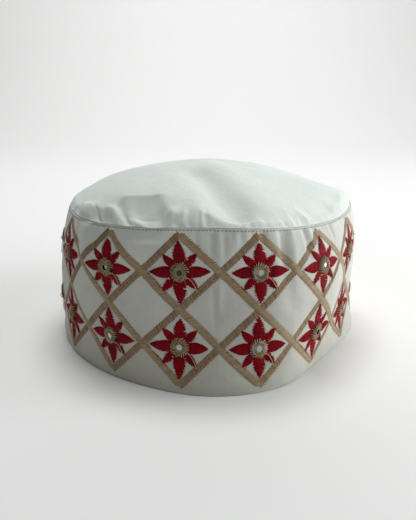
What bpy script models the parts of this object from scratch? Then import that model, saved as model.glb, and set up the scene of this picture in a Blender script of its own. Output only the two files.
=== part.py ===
"""Kufi: a round brimless cloth cap with a soft top and a stiff wall set with small mirrors.

Units are metres with +Z up.  The cap stands on the open rim of its wall, the front faces -Y
and the origin is on the floor, under the middle of the cap.
"""
import math

import bmesh
import bpy
from mathutils import Matrix, Vector

MM = 0.001
OBJECT_NAME = "kufi"

# Stitched seams and glued seats leave this much air between two pieces.
GAP = 0.3 * MM

# The wall is stiff doubled cotton, the top is one soft layer with its backing.
BAND_THICKNESS = 2.2 * MM
CROWN_THICKNESS = 1.8 * MM
# The cut edge of the top is turned down inside the wall by this much.
TUCK_THICKNESS = 1.6 * MM

# Height of the cloth at the middle of the top, above the mean height of the seam.
CROWN_RISE = 24.0 * MM
CROWN_BASE = 84.8 * MM

# The small round mirrors stand in two rows, one above the other, in columns round the wall.
MIRROR_COLUMNS = 14
MIRROR_DIAMETER = 8.0 * MM
MIRROR_THICKNESS = 0.8 * MM
MIRROR_SIDES = 12
# Bare cloth between the ornament and the rim, and between the ornament and the seam.
ORNAMENT_ABOVE_RIM = 4.5 * MM
ORNAMENT_BELOW_SEAM = 3.1 * MM
# Share of the ornament's height at which each row of mirrors is sewn on.
MIRROR_ROWS = (("mirror_lower", 0.25), ("mirror_upper", 0.75))

# Facets round the cap: a whole number of them lies between two mirror columns.
FACETS_PER_COLUMN = 8
FACETS = MIRROR_COLUMNS * FACETS_PER_COLUMN

# Shares of the wall's height at which its cross-sections are drawn.  Two rows of facets are
# tall enough to carry a whole mirror on flat cloth.
BAND_LEVELS = (0.0, 0.11, 0.22, 0.34, 0.51, 0.68, 0.79, 0.86, 0.925, 1.0)
TUCK_LEVEL = 0.925

# Shares of the way from the middle of the top out to the seam.
CROWN_RINGS = (0.13, 0.26, 0.38, 0.49, 0.59, 0.68, 0.76, 0.83, 0.89, 0.94, 0.975, 1.0)
# The last rings, on the steep cloth beside the seam, have no ring of their own underneath.
RINGS_WITHOUT_UNDERSIDE = 2

# Plan sections of the wall, in millimetres from the axis.  The wall is not quite round: it
# bows, tucks in at the right of the front and flares at the rim.  Angles run from the front.
BAND_SECTION_COLUMNS = ("angle", "rim", "waist", "shoulder", "seam", "seam_height")
BAND_SECTIONS = (
    (-180.0, 92.5, 91.5, 93.0, 88.5, 84.5),
    (-157.5, 92.5, 91.5, 93.0, 88.5, 84.5),
    (-135.0, 92.5, 91.5, 93.0, 88.5, 84.5),
    (-112.5, 92.5, 92.0, 93.0, 88.5, 84.5),
    (-90.0, 95.0, 95.0, 90.5, 86.0, 84.0),
    (-67.5, 94.5, 92.5, 90.0, 86.5, 84.0),
    (-45.0, 94.0, 92.5, 91.0, 89.0, 84.5),
    (-22.5, 95.5, 91.5, 89.0, 88.5, 86.0),
    (0.0, 100.0, 90.0, 87.0, 87.5, 87.0),
    (22.5, 99.0, 94.0, 89.0, 89.0, 85.5),
    (45.0, 89.5, 92.0, 89.5, 85.5, 82.5),
    (67.5, 91.0, 89.0, 89.5, 86.5, 81.5),
    (90.0, 98.5, 95.0, 93.5, 90.0, 83.5),
    (112.5, 96.0, 94.5, 91.5, 89.5, 84.5),
    (135.0, 92.5, 92.0, 92.5, 89.0, 84.5),
    (157.5, 92.5, 91.5, 93.0, 88.5, 84.5),
)
# Share of the wall's height that each of the four plan sections belongs to, and the direction
# of the first mirror column there: the cloth is a little twisted from rim to seam.
BAND_STATIONS = (("rim", 0.0, -8.4), ("waist", 0.45, -9.3), ("shoulder", 0.85, -9.4), ("seam", 1.0, -9.5))

# Height of the top above the seam in millimetres, read along spokes at five shares of the way
# from the middle out to the seam.
CROWN_SECTION_COLUMNS = ("angle", "at_35", "at_60", "at_80", "at_93", "at_97")
CROWN_STATIONS = (0.35, 0.60, 0.80, 0.93, 0.97)
CROWN_SECTIONS = (
    (-180.0, 20.0, 15.0, 9.0, 4.5, 2.4),
    (-157.5, 20.0, 15.5, 9.5, 4.5, 2.4),
    (-135.0, 20.5, 15.5, 10.0, 4.5, 2.4),
    (-112.5, 20.5, 16.0, 10.5, 4.5, 2.4),
    (-90.0, 21.0, 17.0, 10.5, 4.6, 2.9),
    (-67.5, 21.5, 17.3, 11.2, 5.7, 3.9),
    (-45.0, 22.0, 18.5, 13.4, 7.4, 5.2),
    (-22.5, 22.0, 18.3, 13.3, 6.9, 3.5),
    (0.0, 21.5, 17.0, 11.3, 6.2, 3.5),
    (22.5, 21.0, 16.5, 11.0, 6.0, 3.4),
    (45.0, 20.5, 16.0, 11.0, 6.2, 3.7),
    (67.5, 20.5, 15.5, 10.6, 6.4, 4.4),
    (90.0, 20.5, 14.5, 9.0, 5.3, 3.7),
    (112.5, 20.5, 14.5, 8.0, 3.5, 2.0),
    (135.0, 20.0, 14.5, 8.5, 3.5, 2.0),
    (157.5, 20.0, 15.0, 9.0, 4.0, 2.2),
)

# Broad folds of the top, in millimetres: a line in plan from start to end, the width of the fold
# on the left and on the right of that line, how far it stands up (or sinks, where the rise is
# negative) and how peaked its crest is (2 is round, 1 is sharp).
FOLD_COLUMNS = ("name", "start_x", "start_y", "end_x", "end_y", "left", "right", "rise", "peak")
CROWN_FOLDS = (
    ("brow over the left of the front", -44.0, -62.0, -27.0, -67.0, 14.0, 4.0, 0.9, 2.0),
    ("hollow under the brow", -34.0, -75.0, -30.0, -90.0, 7.5, 7.0, -2.8, 2.0),
    ("shaded foot of the hollow", -24.0, -79.0, -24.0, -91.0, 2.6, 4.5, -1.6, 2.0),
    ("ridge beside the hollow", -22.6, -71.5, -18.5, -82.0, 12.0, 2.6, 1.4, 1.35),
    ("foot of that ridge", -19.0, -82.0, -18.5, -88.0, 4.5, 3.0, 1.2, 1.5),
    ("ridge running down to the front", -4.0, -81.0, 9.0, -87.5, 8.0, 2.2, 1.0, 1.3),
    ("crest over the crushed cloth", -64.0, -56.0, -52.0, -68.5, 6.0, 2.0, 1.2, 1.4),
    ("tongue", -52.0, -68.5, -45.5, -77.0, 2.4, 3.0, 2.2, 1.35),
    ("crushed hollow at the left", -60.0, -64.0, -52.5, -73.0, 3.0, 5.0, -1.6, 2.0),
    ("long valley right of the middle", -5.0, -36.0, 13.0, -80.0, 9.5, 9.0, -3.3, 2.0),
    ("soft dent at the foot of that valley", 17.0, -72.0, 19.0, -80.0, 6.0, 6.0, -1.3, 2.0),
    ("long ridge toward the right", 10.0, -18.0, 78.0, -10.0, 15.0, 15.0, 1.2, 2.0),
    ("dent at the right of the front", 54.0, -60.0, 68.0, -44.0, 5.0, 5.0, -1.8, 2.0),
    ("dent right of the middle", 30.0, -79.0, 44.0, -72.0, 5.0, 4.0, -1.4, 2.0),
)
# Folds die out over this last share of the way to the seam, where the cloth is sewn down.
FOLD_EDGE_SHARE = 0.05

# Steps round a plan section when its length is measured.
ARC_STEPS = 720
# A length too small to matter, where a distance of nought would divide.
TINY = 1e-6

# Colour (linear), roughness and metalness of each material.
COTTON_TOP = ("white cotton top", (0.66, 0.71, 0.68), 0.85, 0.0)
COTTON_WALL = ("white cotton wall", (0.60, 0.60, 0.57), 0.88, 0.0)
MIRROR_GLASS = ("silvered glass", (0.80, 0.82, 0.82), 0.08, 1.0)


def clear_scene():
    """Remove every object that a new file starts with."""
    for obj in list(bpy.data.objects):
        bpy.data.objects.remove(obj, do_unlink=True)


def make_material(look):
    """Make a Principled material from its name, colour, roughness and metalness."""
    name, colour, roughness, metallic = look
    material = bpy.data.materials.new(name)
    material.use_nodes = True
    shader = material.node_tree.nodes["Principled BSDF"]
    shader.inputs["Base Color"].default_value = (*colour, 1.0)
    shader.inputs["Roughness"].default_value = roughness
    shader.inputs["Metallic"].default_value = metallic
    material.diffuse_color = (*colour, 1.0)
    return material


def column_of(sections, names, name):
    """Pick one named column out of a table of sections."""
    index = names.index(name)
    return [row[index] for row in sections]


def round_value(values, angle):
    """Smooth closed curve through values spaced evenly round the cap, from -pi."""
    place = (angle + math.pi) / (2.0 * math.pi) * len(values)
    first = math.floor(place)
    share = place - first
    before, near, far, after = (values[(first + step) % len(values)] for step in (-1, 0, 1, 2))
    curve = 3.0 * (near - far) + after - before
    curve = 2.0 * before - 5.0 * near + 4.0 * far - after + share * curve
    return near + 0.5 * share * (far - before + share * curve)


def plan_point(values, angle):
    """Point of a plan section in the direction of an angle from the front."""
    radius = round_value(values, angle) * MM
    return Vector((radius * math.sin(angle), -radius * math.cos(angle), 0.0))


def even_angles(values, start_degrees):
    """Angles that cut a plan section into FACETS equal lengths from a starting direction."""
    start = math.radians(start_degrees)
    angles = [start + 2.0 * math.pi * step / ARC_STEPS for step in range(ARC_STEPS + 1)]
    points = [plan_point(values, angle) for angle in angles]
    lengths = [0.0]
    for here, there in zip(points, points[1:]):
        lengths.append(lengths[-1] + (there - here).length)
    result = []
    step = 0
    for facet in range(FACETS):
        wanted = lengths[-1] * facet / FACETS
        while lengths[step + 1] < wanted:
            step += 1
        share = (wanted - lengths[step]) / (lengths[step + 1] - lengths[step])
        result.append(angles[step] + share * (angles[step + 1] - angles[step]))
    return result


def station_rings():
    """The four plan sections of the wall, each cut into the same number of facets."""
    rings = []
    for name, level, start in BAND_STATIONS:
        values = column_of(BAND_SECTIONS, BAND_SECTION_COLUMNS, name)
        angles = even_angles(values, start)
        rings.append((level, angles, [plan_point(values, angle) for angle in angles]))
    return rings


def station_weights(level):
    """Share of each plan section in the section at a level: one curve through all four."""
    levels = [station[1] for station in BAND_STATIONS]
    weights = []
    for own in levels:
        weight = 1.0
        for other in levels:
            if other != own:
                weight *= (level - other) / (own - other)
        weights.append(weight)
    return weights


def band_ring(rings, level, inward=0.0):
    """Points round the wall at a share of its height, moved inward by a distance."""
    weights = station_weights(level)
    heights = column_of(BAND_SECTIONS, BAND_SECTION_COLUMNS, "seam_height")
    seam_angles = rings[-1][1]
    points = []
    for facet in range(FACETS):
        point = Vector((0.0, 0.0, round_value(heights, seam_angles[facet]) * MM * level))
        for weight, ring in zip(weights, rings):
            point += weight * ring[2][facet]
        points.append(point)
    if inward == 0.0:
        return points
    return move_inward(points, inward)


def move_inward(points, distance):
    """Move a ring of points inward in plan, square to the ring."""
    moved = []
    for index, point in enumerate(points):
        along = points[(index + 1) % len(points)] - points[index - 1]
        inward = Vector((-along.y, along.x, 0.0)).normalized()
        moved.append(point + distance * inward)
    return moved


def shifted(points, rise):
    """A ring of points moved straight up."""
    return [point + Vector((0.0, 0.0, rise)) for point in points]


def loft_rings(mesh, rings, closed):
    """Join rings of points one to the next; a closed loft also joins the last to the first."""
    loops = [[mesh.verts.new(point) for point in ring] for ring in rings]
    pairs = list(zip(loops, loops[1:]))
    if closed:
        pairs.append((loops[-1], loops[0]))
    for lower, upper in pairs:
        for index in range(FACETS):
            after = (index + 1) % FACETS
            mesh.faces.new((lower[index], lower[after], upper[after], upper[index]))
    return loops


def close_with_point(mesh, loop, point):
    """Fill a ring with a fan of triangles to one point in its middle."""
    middle = mesh.verts.new(point)
    for index in range(FACETS):
        mesh.faces.new((loop[index], loop[(index + 1) % FACETS], middle))


def finish_mesh(name, mesh, material, collection):
    """Turn faces outward and make one named object of the mesh."""
    bmesh.ops.recalc_face_normals(mesh, faces=mesh.faces[:])
    data = bpy.data.meshes.new(name)
    mesh.to_mesh(data)
    mesh.free()
    data.materials.append(material)
    obj = bpy.data.objects.new(name, data)
    collection.objects.link(obj)
    return obj


def build_band(rings, material, collection):
    """Side wall: a closed hoop lofted from its outer sections and the same moved inward."""
    outer = [band_ring(rings, level) for level in BAND_LEVELS]
    inner = [band_ring(rings, level, BAND_THICKNESS) for level in BAND_LEVELS]
    outer[-1] = shifted(outer[-1], -GAP / 2.0)
    inner[-1] = shifted(inner[-1], -GAP / 2.0)
    mesh = bmesh.new()
    loft_rings(mesh, outer + inner[::-1], closed=True)
    return finish_mesh("side_band", mesh, material, collection)


def fold_rise(x, y, fold):
    """Height in millimetres that one fold adds at a point in plan."""
    _, start_x, start_y, end_x, end_y, left, right, rise, peak = fold
    line_x, line_y = end_x - start_x, end_y - start_y
    off_x, off_y = x - start_x, y - start_y
    share = (off_x * line_x + off_y * line_y) / (line_x ** 2 + line_y ** 2)
    share = min(1.0, max(0.0, share))
    distance = math.hypot(off_x - share * line_x, off_y - share * line_y)
    turned = (line_x * off_y - line_y * off_x) / max(distance * math.hypot(line_x, line_y), TINY)
    side = 0.5 + 0.5 * min(1.0, max(-1.0, turned))
    side = side * side * (3.0 - 2.0 * side)
    return rise * math.exp(-(distance / (right + (left - right) * side)) ** peak)


def fold_height(x, y, share_out):
    """Height in millimetres that the folds add at a point of the top."""
    height = sum(fold_rise(x, y, fold) for fold in CROWN_FOLDS)
    return height * min(1.0, (1.0 - share_out) / FOLD_EDGE_SHARE)


def spoke_height(angle, share_out):
    """Height in millimetres of the unfolded top along one spoke, a smooth curve."""
    places = (0.0,) + CROWN_STATIONS + (1.0,)
    heights = [CROWN_RISE / MM]
    for name in CROWN_SECTION_COLUMNS[1:]:
        values = column_of(CROWN_SECTIONS, CROWN_SECTION_COLUMNS, name)
        heights.append(round_value(values, angle))
    heights.append(0.0)
    slopes = [0.0]
    for index in range(1, len(places) - 1):
        rise = heights[index + 1] - heights[index - 1]
        slopes.append(rise / (places[index + 1] - places[index - 1]))
    slopes.append((heights[-1] - heights[-2]) / (places[-1] - places[-2]))
    index = 0
    while index < len(places) - 2 and share_out > places[index + 1]:
        index += 1
    width = places[index + 1] - places[index]
    part = (share_out - places[index]) / width
    rest = 1.0 - part
    value = (1.0 + 2.0 * part) * rest ** 2 * heights[index]
    value += (1.0 + 2.0 * rest) * part ** 2 * heights[index + 1]
    value += part * rest ** 2 * width * slopes[index]
    value -= rest * part ** 2 * width * slopes[index + 1]
    return value


def crown_ring(seam, seam_angles, share_out):
    """Points round the top at a share of the way out to the seam."""
    points = []
    for point, angle in zip(seam, seam_angles):
        x = point.x * share_out
        y = point.y * share_out
        height = spoke_height(angle, share_out) + fold_height(x / MM, y / MM, share_out)
        z = CROWN_BASE * (1.0 - share_out) + point.z * share_out + height * MM
        points.append(Vector((x, y, z)))
    return points


def below_surface(rings, middle, depth):
    """The same rings moved square to the cloth, to its under side."""
    moved = []
    for ring_index, ring in enumerate(rings):
        nearer = rings[ring_index - 1] if ring_index else [middle] * len(ring)
        farther = rings[min(ring_index + 1, len(rings) - 1)]
        under = []
        for index, point in enumerate(ring):
            round_way = ring[(index + 1) % len(ring)] - ring[index - 1]
            out_way = farther[index] - nearer[index]
            square = out_way.cross(round_way).normalized()
            under.append(point - depth * square)
        moved.append(under)
    return moved


def build_crown(rings, material, collection):
    """Top: a thin domed shell, its cut edge turned down inside the wall."""
    seam = shifted(band_ring(rings, 1.0), GAP / 2.0)
    seam_angles = rings[-1][1]
    middle = Vector((0.0, 0.0, CROWN_BASE + CROWN_RISE + fold_height(0.0, 0.0, 0.0) * MM))
    outer = [crown_ring(seam, seam_angles, share) for share in CROWN_RINGS]
    under = below_surface(outer, middle, CROWN_THICKNESS)[:-RINGS_WITHOUT_UNDERSIDE]

    fold_line = move_inward(seam, BAND_THICKNESS + GAP)
    tuck_end = band_ring(rings, TUCK_LEVEL, BAND_THICKNESS + GAP)
    tuck_back = band_ring(rings, TUCK_LEVEL, BAND_THICKNESS + GAP + TUCK_THICKNESS)
    corner = shifted(move_inward(seam, BAND_THICKNESS + GAP + TUCK_THICKNESS), CROWN_THICKNESS / 2.0)

    mesh = bmesh.new()
    loops = loft_rings(mesh, outer + [fold_line, tuck_end, tuck_back, corner] + under[::-1], closed=False)
    close_with_point(mesh, loops[0], middle)
    close_with_point(mesh, loops[-1], middle - Vector((0.0, 0.0, CROWN_THICKNESS)))
    return finish_mesh("crown", mesh, material, collection)


def level_under(level):
    """The two levels of the wall's facets that a level lies between."""
    upper = min(index for index, value in enumerate(BAND_LEVELS) if value > level)
    return BAND_LEVELS[upper - 1], BAND_LEVELS[upper]


def mirror_seat(rings, facet, share_up):
    """Middle of a mirror's back and the direction it faces, clear of the wall by GAP."""
    mean_height = sum(column_of(BAND_SECTIONS, BAND_SECTION_COLUMNS, "seam_height")) / len(BAND_SECTIONS) * MM
    bottom = ORNAMENT_ABOVE_RIM / mean_height
    top = 1.0 - ORNAMENT_BELOW_SEAM / mean_height
    level = bottom + share_up * (top - bottom)
    low_level, high_level = level_under(level)
    low = band_ring(rings, low_level)
    high = band_ring(rings, high_level)
    part = (level - low_level) / (high_level - low_level)
    spot = low[facet].lerp(high[facet], part)
    sides = ((facet + 1) % FACETS, facet - 1)
    right, left = (low[side].lerp(high[side], part) for side in sides)
    face = (right - left).cross(high[facet] - low[facet]).normalized()
    lift = GAP
    for side in sides:
        for corner in (low[side], high[side]):
            lift = max(lift, GAP + (corner - spot).dot(face))
    return spot + lift * face, face


def build_mirror(name, seat, face, material, collection):
    """One round mirror: a short disc laid flat against the wall."""
    mesh = bmesh.new()
    bmesh.ops.create_cone(mesh, cap_ends=True, segments=MIRROR_SIDES, radius1=MIRROR_DIAMETER / 2.0,
                          radius2=MIRROR_DIAMETER / 2.0, depth=MIRROR_THICKNESS)
    obj = finish_mesh(name, mesh, material, collection)
    across = Vector((0.0, 0.0, 1.0)).cross(face).normalized()
    turn = Matrix((across, face.cross(across), face)).transposed()
    obj.rotation_euler = turn.to_euler()
    obj.location = seat + face * MIRROR_THICKNESS / 2.0
    return obj


def centre_on_origin(objects):
    """Move all pieces together so that the middle of the cap is over the origin."""
    bpy.context.view_layer.update()
    points = [obj.matrix_world @ vertex.co for obj in objects for vertex in obj.data.vertices]
    middle_x = (min(p.x for p in points) + max(p.x for p in points)) / 2.0
    middle_y = (min(p.y for p in points) + max(p.y for p in points)) / 2.0
    for obj in objects:
        obj.location -= Vector((middle_x, middle_y, 0.0))
    print("moved to the origin by", round(-middle_x / MM, 3), round(-middle_y / MM, 3), "mm")


def main():
    """Build the wall, the top and the mirrors."""
    clear_scene()
    collection = bpy.data.collections.new(OBJECT_NAME)
    bpy.context.scene.collection.children.link(collection)
    wall_cloth = make_material(COTTON_WALL)
    top_cloth = make_material(COTTON_TOP)
    glass = make_material(MIRROR_GLASS)

    rings = station_rings()
    pieces = [build_band(rings, wall_cloth, collection), build_crown(rings, top_cloth, collection)]
    for row_name, share_up in MIRROR_ROWS:
        for column in range(MIRROR_COLUMNS):
            seat, face = mirror_seat(rings, column * FACETS_PER_COLUMN, share_up)
            name = f"{row_name}_{column + 1:02d}"
            pieces.append(build_mirror(name, seat, face, glass, collection))
    centre_on_origin(pieces)
    for piece in pieces[:3]:
        print(piece.name, len(piece.data.vertices), "corners", len(piece.data.polygons), "faces")


main()
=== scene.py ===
# %% [markdown]
# # A kufi with mirror embroidery
#
# A kufi is a round cap without a brim.  This one has a soft cotton top eased into a stiff
# cotton wall, and the wall carries a lattice of satin stitch with a red flower round each small
# mirror.  The lesson starts from a plain solid model, keeps its sizes, and dresses it: cloth
# first, then thread, then glass, then the light.

import math

import bpy
import numpy as np
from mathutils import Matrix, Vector


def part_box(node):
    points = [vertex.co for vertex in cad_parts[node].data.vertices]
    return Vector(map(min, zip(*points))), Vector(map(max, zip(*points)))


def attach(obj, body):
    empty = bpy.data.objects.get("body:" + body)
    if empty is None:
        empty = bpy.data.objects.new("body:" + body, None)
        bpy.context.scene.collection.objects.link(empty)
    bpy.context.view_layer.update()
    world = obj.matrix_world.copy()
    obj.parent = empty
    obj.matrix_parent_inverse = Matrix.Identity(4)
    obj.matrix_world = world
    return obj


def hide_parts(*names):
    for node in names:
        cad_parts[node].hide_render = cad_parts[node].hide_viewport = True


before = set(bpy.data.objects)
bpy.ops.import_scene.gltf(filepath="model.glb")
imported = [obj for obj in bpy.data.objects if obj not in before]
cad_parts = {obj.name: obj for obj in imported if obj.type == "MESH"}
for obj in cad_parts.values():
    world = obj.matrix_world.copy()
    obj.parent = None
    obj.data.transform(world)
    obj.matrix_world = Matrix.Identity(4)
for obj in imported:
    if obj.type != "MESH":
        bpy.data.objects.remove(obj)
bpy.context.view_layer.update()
MM = 0.001

# %% [markdown]
# ## The plan of the wall
#
# A hand-sewn wall is never a true cylinder: it bows, tucks in at one side and flares at the rim.
# It could be sculpted, but a table of plan sections keeps the real sizes in sight.  Each row
# gives the distance from the axis, in millimetres, at four heights in one direction, with the
# height of the seam there.  One smooth closed curve runs through each column.

# %% Plan sections of the wall
WALL_COLUMNS = ("angle", "rim", "waist", "shoulder", "seam", "seam_height")
WALL_SECTIONS = np.array((
    (-180, 92.5, 91.5, 93, 88.5, 84.5),
    (-157.5, 92.5, 91.5, 93, 88.5, 84.5),
    (-135, 92.5, 91.5, 93, 88.5, 84.5),
    (-112.5, 92.5, 92, 93, 88.5, 84.5),
    (-90, 95, 95, 90.5, 86, 84),
    (-67.5, 94.5, 92.5, 90, 86.5, 84),
    (-45, 94, 92.5, 91, 89, 84.5),
    (-22.5, 95.5, 91.5, 89, 88.5, 86),
    (0, 100, 90, 87, 87.5, 87),
    (22.5, 99, 94, 89, 89, 85.5),
    (45, 89.5, 92, 89.5, 85.5, 82.5),
    (67.5, 91, 89, 89.5, 86.5, 81.5),
    (90, 98.5, 95, 93.5, 90, 83.5),
    (112.5, 96, 94.5, 91.5, 89.5, 84.5),
    (135, 92.5, 92, 92.5, 89, 84.5),
    (157.5, 92.5, 91.5, 93, 88.5, 84.5),
))
# Name, share of the wall's height and direction of the first mirror column at that height.
STATIONS = (("rim", 0.0, -8.4), ("waist", 0.45, -9.3), ("shoulder", 0.85, -9.4), ("seam", 1.0, -9.5))
ARC_STEPS = 1440


def section(name):
    """One named column of the wall's table."""
    return WALL_SECTIONS[:, WALL_COLUMNS.index(name)]


def round_value(values, angle):
    """Smooth closed curve through values spaced evenly round the cap, from -pi."""
    place = (np.asarray(angle) + math.pi) / (2.0 * math.pi) * len(values)
    first = np.floor(place).astype(int)
    share = place - first
    before, near, far, after = (values[(first + step) % len(values)] for step in (-1, 0, 1, 2))
    curve = 2.0 * before - 5.0 * near + 4.0 * far - after
    curve = curve + share * (3.0 * (near - far) + after - before)
    return near + 0.5 * share * (far - before + share * curve)


class Station:
    """One plan section, measured along its length so that cloth can be laid round it evenly."""

    def __init__(self, name, level, start):
        self.level = level
        self.angles = math.radians(start) + np.linspace(0.0, 2.0 * math.pi, ARC_STEPS + 1)
        radius = round_value(section(name), self.angles)
        self.x = radius * np.sin(self.angles)
        self.y = -radius * np.cos(self.angles)
        length = np.concatenate([[0.0], np.cumsum(np.hypot(np.diff(self.x), np.diff(self.y)))])
        self.length = length[-1]
        self.share = length / length[-1]

    def at(self, turn):
        """x, y and direction at a share of the way round."""
        turn = np.asarray(turn) % 1.0
        return tuple(np.interp(turn, self.share, row) for row in (self.x, self.y, self.angles))


stations = [Station(*row) for row in STATIONS]
print("length round the cap, mm:", [round(s.length) for s in stations])

# %% [markdown]
# ## One coordinate system for everything sewn on
#
# An embroiderer works on flat cloth, so the stitches are placed with two lengths: how far round
# the wall and how far up it.  One function turns those into a point in space, and every thread
# in this file goes through it.  That keeps the stitches on the cloth wherever it bends.

# %% From flat cloth to the standing wall
MIRROR_COLUMNS = 14
WALL_HEIGHT = float(section("seam_height").mean())
AROUND = 580.0
PITCH = AROUND / MIRROR_COLUMNS
# The lattice starts this far above the rim and ends this far below the seam.
ORNAMENT_FOOT = 4.5
ORNAMENT_HEAD = WALL_HEIGHT - 3.1
QUARTER = (ORNAMENT_HEAD - ORNAMENT_FOOT) / 4.0


def wall_smooth(around, up):
    """Point of the unrumpled wall, in millimetres."""
    turn = np.asarray(around) / AROUND
    level = np.asarray(up) / WALL_HEIGHT
    x = y = 0.0
    for own in stations:
        weight = 1.0
        for other in stations:
            if other is not own:
                weight = weight * (level - other.level) / (own.level - other.level)
        own_x, own_y, _ = own.at(turn)
        x = x + weight * own_x
        y = y + weight * own_y
    height = round_value(section("seam_height"), stations[-1].at(turn)[2])
    return np.stack(np.broadcast_arrays(x, y, height * level), -1)


def unit(vectors):
    """The same vectors one millimetre long."""
    return vectors / np.maximum(np.linalg.norm(vectors, axis=-1, keepdims=True), 1e-12)


# Distance in millimetres over which the wall's slope is measured.
STEP = 0.05


def wall_outward(around, up):
    """Direction square to the wall, pointing out."""
    across = wall_smooth(around + STEP, up) - wall_smooth(around - STEP, up)
    upward = wall_smooth(around, up + STEP) - wall_smooth(around, up - STEP)
    return unit(np.cross(across, upward))


OUTLINE_ROWS, OUTLINE_COLUMNS = 10, 400
ring_round = np.linspace(0.0, AROUND, OUTLINE_COLUMNS)
outline = np.concatenate([wall_smooth(ring_round, np.full(OUTLINE_COLUMNS, up))
                          for up in np.linspace(0.0, WALL_HEIGHT, OUTLINE_ROWS)])
band_low, band_high = (np.array(corner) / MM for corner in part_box("side_band"))
SHIFT = (band_low + band_high) / 2.0 - (outline.min(axis=0) + outline.max(axis=0)) / 2.0
SHIFT[2] = 0.0
print("cloth is moved onto the plain model by, mm:", np.round(SHIFT, 2))


def to_world(points):
    """Millimetres of this lesson to metres of the plain model."""
    return (points + SHIFT) * MM


# %% [markdown]
# ## How the cloth is rumpled
#
# Three things shape the wall's cloth: the stitches draw it down along the lattice so that the
# bare diamonds swell a little, the seam gathers it into short puckers, and handling has left a
# few longer folds.  Each is a height in millimetres above the smooth wall, so they can be added.
# A cloth simulation would hide these choices, and the real folds are few enough to name.

# %% Relief of the wall
rng = np.random.default_rng(14)


def drawn(count, *ranges):
    """Rows of random values, one from each range."""
    return list(zip(*[rng.uniform(low, high, count) for low, high in ranges]))


# Random puckers: how many, then the ranges of place round the wall, width, length and depth.
puckers = drawn(150, (0.0, AROUND), (1.1, 2.6), (6.0, 20.0), (0.12, 0.55))
PUCKER_TAPER = 1.5
# Longer folds: place round the wall, top and foot up the wall, width on its left and on its right,
# rise (it sinks if negative) and how far it drifts round as it runs down.
WALL_FOLDS = (
    ("hollow left of the first column", -15.5, 75, 50, 8, 8, -1.4, 1),
    ("narrow, right of the first column", 8.9, 84, 70, 1.3, 1.1, -0.55, 0.4),
    ("next fold", 16.4, 84, 62, 1.8, 2.4, -0.8, 0.4),
    ("fold in the middle", 23.6, 84, 66, 1.6, 2.2, -0.75, -0.6),
    ("faint, before the second column", 32.4, 84, 74, 1.6, 1.6, -0.35, -0.4),
    ("sharp, right of the second column", 54.4, 84, 52, 2.2, 4.6, -0.95, 0.4),
    ("crest beside it", 60.5, 84, 56, 3.4, 2.6, 0.5, 0.8),
    ("second sharp fold", 70.2, 84, 62, 1.1, 3, -1, 2),
    ("crest beside the second", 74.6, 84, 68, 2, 2, 0.4, 2),
    ("before the third column", 78.4, 84, 74, 1, 1.6, -0.4, 0.6),
    ("short, at the right", 97, 83, 70, 1, 1.6, -0.6, 1),
    ("faint, at the first column", -3.4, 84, 74, 1.2, 1.2, -0.25, 0.2),
    ("beside the left column", -40.2, 84, 66, 1.6, 3, -0.8, 2.5),
    ("left of the left column", -50.2, 84, 60, 3.4, 1.8, -0.7, 1.5),
    ("crest at the far left", -60, 84, 52, 5, 4.5, 1, 0.5),
    ("valley at the far left", -70, 84, 56, 2.6, 2.6, -0.8, 0.5),
    ("crease in the middle diamond", 17.2, 50, 26, 1.4, 2.4, -0.45, 1.6),
    ("its lit side", 20.6, 54, 36, 1.6, 1.6, 0.3, -1),
    ("blot in the right diamond", 57, 56, 38, 4, 5, -0.5, 4),
)
# Soft swells: place round and up the wall, reach to the left, right, up and down, and rise.
WALL_SWELLS = (
    ("under the crushed seam", -30, 68, 8, 9, 11, 16, 1.4),
    ("beside the left strip", -53, 69, 7, 6, 9, 12, 1.6),
    ("in the middle", 21, 69, 12, 10, 9, 12, 0.8),
)
FOLD_STRENGTH = 1.35
# A fold dies away over the last part of its length and over this distance above its top.
FOLD_FADE = 1.6
FOLD_LEAD = 4.0
# Within SEAM_HOLD of the seam the cloth is held flat, down to HELD_SHARE of its relief.
SEAM_HOLD = 2.4
HELD_SHARE = 0.12
# The bare diamonds swell, over SWELL_REACH from the strips and FLOWER_REACH from a flower's heart.
DIAMOND_SWELL = 0.55
SWELL_REACH = 9.0
FLOWER_HEART = 6.0
FLOWER_REACH = 12.0
# How far the stitches pull the cloth down, and over what width.
STITCH_PULL = 0.22
PULL_WIDTH = 2.2
# The stiff wall waves a little: rise, waves round it, millimetres up for each radian, and start.
RIPPLES = ((0.25, 5, 14.0, 0.0), (0.18, 11, -9.0, 1.0))


def fade(value):
    """Smooth step from 0 to 1."""
    value = np.clip(value, 0.0, 1.0)
    return value * value * (3.0 - 2.0 * value)


def wrapped(distance):
    """Distance round the wall, the short way."""
    return (distance + AROUND / 2.0) % AROUND - AROUND / 2.0


def hill(side, left, right):
    """A hill one high at a distance from its middle, with its own width on each side."""
    return np.exp(-(side / np.where(side < 0.0, left, right)) ** 2)


def lattice_distance(around, up):
    """Distance in millimetres to the nearest strip of the lattice."""
    row = (up - ORNAMENT_FOOT) / QUARTER
    inside = np.clip(row, 0.0, 4.0)
    square = QUARTER / math.hypot(PITCH / 2.0, QUARTER) * PITCH
    near = 1e9
    for lean in (-0.5, 0.5):
        line = (around / PITCH + lean * inside) % 1.0
        near = np.minimum(near, np.minimum(line, 1.0 - line) * square)
    return np.hypot(near, (row - inside) * QUARTER)


def flower_distance(around, up):
    """Distance in millimetres to the nearest mirror."""
    sideways = np.abs(around / PITCH - np.round(around / PITCH)) * PITCH
    near = np.minimum(np.abs(up - ORNAMENT_FOOT - QUARTER), np.abs(up - ORNAMENT_FOOT - 3.0 * QUARTER))
    return np.hypot(sideways, near)


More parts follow.
